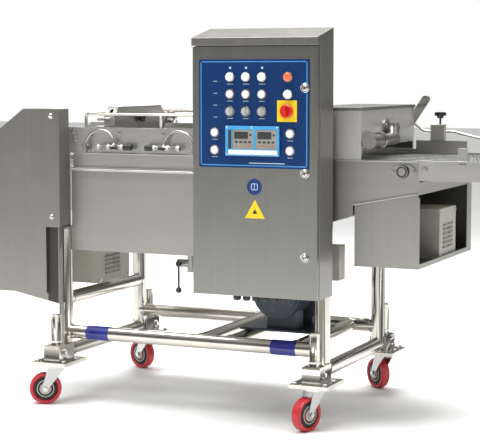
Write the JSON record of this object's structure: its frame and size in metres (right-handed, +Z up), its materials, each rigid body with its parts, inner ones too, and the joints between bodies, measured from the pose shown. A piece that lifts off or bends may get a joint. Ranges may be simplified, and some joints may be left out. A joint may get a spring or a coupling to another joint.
{
  "type": "belt batter applicator",
  "caption": "Wheeled stainless food line: open trough with a wire belt, curtain housing, air knife, drive cover and a tall control cabinet with a hinged door.",
  "frame": {"origin": "middle of the outline on the floor", "axes": "+X along the belt towards the infeed end, +Y away from the cabinet side, +Z up"},
  "size_m": [2.1708, 1.0008, 1.461],
  "materials": {
    "polished_tube": "polished stainless",
    "brushed_stainless": "brushed stainless sheet",
    "shaded_stainless": "brushed stainless, darker grain",
    "belt_wire": "woven wire belt",
    "zinc_plate": "zinc plated steel",
    "red_polyurethane": "red polyurethane tread",
    "black_plastic": "moulded, satin",
    "blue_panel": "satin",
    "pale_blue_bezel": "satin",
    "white_button": "satin",
    "yellow_plate": "satin",
    "red_knob": "satin",
    "blue_grey_casting": "painted casting",
    "beige_enamel": "enamel"
  },
  "bodies": {
    "machine": {"frame": "polished_tube", "supply_valve_left": "polished_tube", "supply_valve_right": "polished_tube", "bearing_front": "polished_tube", "bearing_back": "polished_tube", "guide_rod": "polished_tube", "feed_pipe": "polished_tube", "guard_rail": "polished_tube", "trough": "brushed_stainless", "side_plate_front": "brushed_stainless", "side_plate_back": "brushed_stainless", "drive_cover": "brushed_stainless", "cabinet": "brushed_stainless", "infeed_frame": "brushed_stainless", "guide_clamp": "brushed_stainless", "curtain_housing": "brushed_stainless", "air_knife": "brushed_stainless", "motor_box": "brushed_stainless", "main_belt": "belt_wire", "gear_motor": "blue_grey_casting", "blower": "blue_grey_casting", "motor_cover": "beige_enamel", "discharge_cover": "beige_enamel", "feed_pump": "beige_enamel"},
    "door": {"cabinet_door": "brushed_stainless", "control_panel": "blue_panel", "screen_unit": "pale_blue_bezel", "switch_plate": "yellow_plate"},
    "head_shaft": {"head_shaft": "zinc_plate"},
    "drive_shaft": {"drive_shaft": "zinc_plate"},
    "tail_shaft": {"tail_shaft": "zinc_plate"},
    "knife_knob": {"knife_knob": "black_plastic"},
    "star_knob": {"star_knob": "black_plastic"},
    "valve_knob_left": {"valve_knob_left": "black_plastic"},
    "valve_knob_right": {"valve_knob_right": "black_plastic"},
    "drain_lever": {"drain_lever": "black_plastic"},
    "housing_lid": {"housing_lid": "shaded_stainless"},
    "lift_lever": {"lift_lever": "polished_tube"},
    "fork_fl": {"caster_fork_fl": "zinc_plate"},
    "wheel_fl": {"caster_wheel_fl": "red_polyurethane"},
    "fork_fr": {"caster_fork_fr": "zinc_plate"},
    "wheel_fr": {"caster_wheel_fr": "red_polyurethane"},
    "fork_bl": {"caster_fork_bl": "zinc_plate"},
    "wheel_bl": {"caster_wheel_bl": "red_polyurethane"},
    "fork_br": {"caster_fork_br": "zinc_plate"},
    "wheel_br": {"caster_wheel_br": "red_polyurethane"},
    "button_a": {"button_a": "white_button"},
    "button_b": {"button_b": "white_button"},
    "button_c": {"button_c": "white_button"},
    "button_d": {"button_d": "white_button"},
    "button_e": {"button_e": "white_button"},
    "button_f": {"button_f": "white_button"},
    "button_g": {"button_g": "white_button"},
    "selector_a": {"selector_a": "black_plastic"},
    "selector_b": {"selector_b": "black_plastic"},
    "selector_c": {"selector_c": "black_plastic"},
    "switch_knob": {"switch_knob": "red_knob"},
    "door_lock_1": {"door_lock_1": "polished_tube"},
    "door_lock_2": {"door_lock_2": "polished_tube"},
    "door_lock_3": {"door_lock_3": "polished_tube"}
  },
  "joints": [
    {"name": "door_hinge", "type": "hinge", "parent": "machine", "child": "door", "pos_m": [-0.0534, -0.46354, 0.9415], "axis": [0, 0, -1], "range_deg": [0, 110]},
    {"name": "head_shaft_spin", "type": "hinge", "parent": "machine", "child": "head_shaft", "pos_m": [-0.8754, 0.02946, 0.947], "axis": [0, 1, 0], "continuous": true},
    {"name": "drive_shaft_spin", "type": "hinge", "parent": "machine", "child": "drive_shaft", "pos_m": [0.6946, 0.02946, 0.947], "axis": [0, 1, 0], "continuous": true},
    {"name": "tail_shaft_spin", "type": "hinge", "parent": "machine", "child": "tail_shaft", "pos_m": [1.0366, 0.02946, 0.947], "axis": [0, 1, 0], "continuous": true},
    {"name": "knife_knob_turn", "type": "hinge", "parent": "machine", "child": "knife_knob", "pos_m": [-0.5271, 0.01746, 1.119], "axis": [1, 0, 0], "continuous": true},
    {"name": "star_knob_turn", "type": "hinge", "parent": "machine", "child": "star_knob", "pos_m": [0.6426, 0.33846, 1.0963], "axis": [0, 0, 1], "continuous": true},
    {"name": "valve_knob_left_turn", "type": "hinge", "parent": "machine", "child": "valve_knob_left", "pos_m": [-0.4271, -0.30154, 1.013], "axis": [1, 0, 0], "continuous": true},
    {"name": "valve_knob_right_turn", "type": "hinge", "parent": "machine", "child": "valve_knob_right", "pos_m": [-0.2957, -0.30154, 1.013], "axis": [1, 0, 0], "continuous": true},
    {"name": "drain_lever_turn", "type": "hinge", "parent": "machine", "child": "drain_lever", "pos_m": [-0.2174, -0.24484, 0.566], "axis": [0, 1, 0], "range_deg": [0, 90]},
    {"name": "housing_lid_hinge", "type": "hinge", "parent": "machine", "child": "housing_lid", "pos_m": [0.2906, 0.02946, 1.1623], "axis": [0, -1, 0], "range_deg": [0, 100]},
    {"name": "lift_lever_turn", "type": "hinge", "parent": "machine", "child": "lift_lever", "pos_m": [0.4996, 0.34076, 1.072], "axis": [0, -1, 0], "range_deg": [0, 60]},
    {"name": "swivel_fl", "type": "hinge", "parent": "machine", "child": "fork_fl", "pos_m": [-0.7004, -0.36254, 0.1577], "axis": [0, 0, 1], "continuous": true},
    {"name": "roll_fl", "type": "hinge", "parent": "fork_fl", "child": "wheel_fl", "pos_m": [-0.73824, -0.38296, 0.0625], "axis": [0.475, -0.88, 0], "continuous": true},
    {"name": "swivel_fr", "type": "hinge", "parent": "machine", "child": "fork_fr", "pos_m": [0.3896, -0.36254, 0.1577], "axis": [0, 0, 1], "continuous": true},
    {"name": "roll_fr", "type": "hinge", "parent": "fork_fr", "child": "wheel_fr", "pos_m": [0.37456, -0.40282, 0.0625], "axis": [0.9368, -0.3499, 0], "continuous": true},
    {"name": "swivel_bl", "type": "hinge", "parent": "machine", "child": "fork_bl", "pos_m": [-0.7004, 0.42146, 0.1577], "axis": [0, 0, 1], "continuous": true},
    {"name": "roll_bl", "type": "hinge", "parent": "fork_bl", "child": "wheel_bl", "pos_m": [-0.74083, 0.43609, 0.0625], "axis": [-0.3401, -0.9404, 0], "continuous": true},
    {"name": "swivel_br", "type": "hinge", "parent": "machine", "child": "fork_br", "pos_m": [0.3896, 0.42146, 0.1577], "axis": [0, 0, 1], "continuous": true},
    {"name": "roll_br", "type": "hinge", "parent": "fork_br", "child": "wheel_br", "pos_m": [0.35607, 0.44838, 0.0625], "axis": [-0.6259, -0.7799, 0], "continuous": true},
    {"name": "button_a_press", "type": "slide", "parent": "door", "child": "button_a", "axis": [0, 1, 0], "range_m": [0, 0.003], "stiffness_N_per_m": 400},
    {"name": "button_b_press", "type": "slide", "parent": "door", "child": "button_b", "axis": [0, 1, 0], "range_m": [0, 0.003], "stiffness_N_per_m": 400},
    {"name": "button_c_press", "type": "slide", "parent": "door", "child": "button_c", "axis": [0, 1, 0], "range_m": [0, 0.003], "stiffness_N_per_m": 400},
    {"name": "button_d_press", "type": "slide", "parent": "door", "child": "button_d", "axis": [0, 1, 0], "range_m": [0, 0.003], "stiffness_N_per_m": 400},
    {"name": "button_e_press", "type": "slide", "parent": "door", "child": "button_e", "axis": [0, 1, 0], "range_m": [0, 0.003], "stiffness_N_per_m": 400},
    {"name": "button_f_press", "type": "slide", "parent": "door", "child": "button_f", "axis": [0, 1, 0], "range_m": [0, 0.003], "stiffness_N_per_m": 400},
    {"name": "button_g_press", "type": "slide", "parent": "door", "child": "button_g", "axis": [0, 1, 0], "range_m": [0, 0.003], "stiffness_N_per_m": 400},
    {"name": "selector_a_turn", "type": "hinge", "parent": "door", "child": "selector_a", "pos_m": [0.1003, -0.46714, 1.1604], "axis": [0, -1, 0], "range_deg": [-45, 45]},
    {"name": "selector_b_turn", "type": "hinge", "parent": "door", "child": "selector_b", "pos_m": [0.1628, -0.46714, 1.1604], "axis": [0, -1, 0], "range_deg": [-45, 45]},
    {"name": "selector_c_turn", "type": "hinge", "parent": "door", "child": "selector_c", "pos_m": [0.2254, -0.46714, 1.1604], "axis": [0, -1, 0], "range_deg": [-45, 45]},
    {"name": "switch_knob_turn", "type": "hinge", "parent": "door", "child": "switch_knob", "pos_m": [0.3226, -0.47044, 1.163], "axis": [0, -1, 0], "range_deg": [0, 90]},
    {"name": "door_lock_1_turn", "type": "hinge", "parent": "door", "child": "door_lock_1", "pos_m": [0.3906, -0.46384, 1.2456], "axis": [0, -1, 0], "range_deg": [0, 90]},
    {"name": "door_lock_2_turn", "type": "hinge", "parent": "door", "child": "door_lock_2", "pos_m": [0.3906, -0.46384, 0.9428], "axis": [0, -1, 0], "range_deg": [0, 90]},
    {"name": "door_lock_3_turn", "type": "hinge", "parent": "door", "child": "door_lock_3", "pos_m": [0.3906, -0.46384, 0.6417], "axis": [0, -1, 0], "range_deg": [0, 90]}
  ],
  "couplings": [
    {"joint": "head_shaft_spin", "follows": "drive_shaft_spin", "ratio": 1},
    {"joint": "tail_shaft_spin", "follows": "drive_shaft_spin", "ratio": 1}
  ]
}
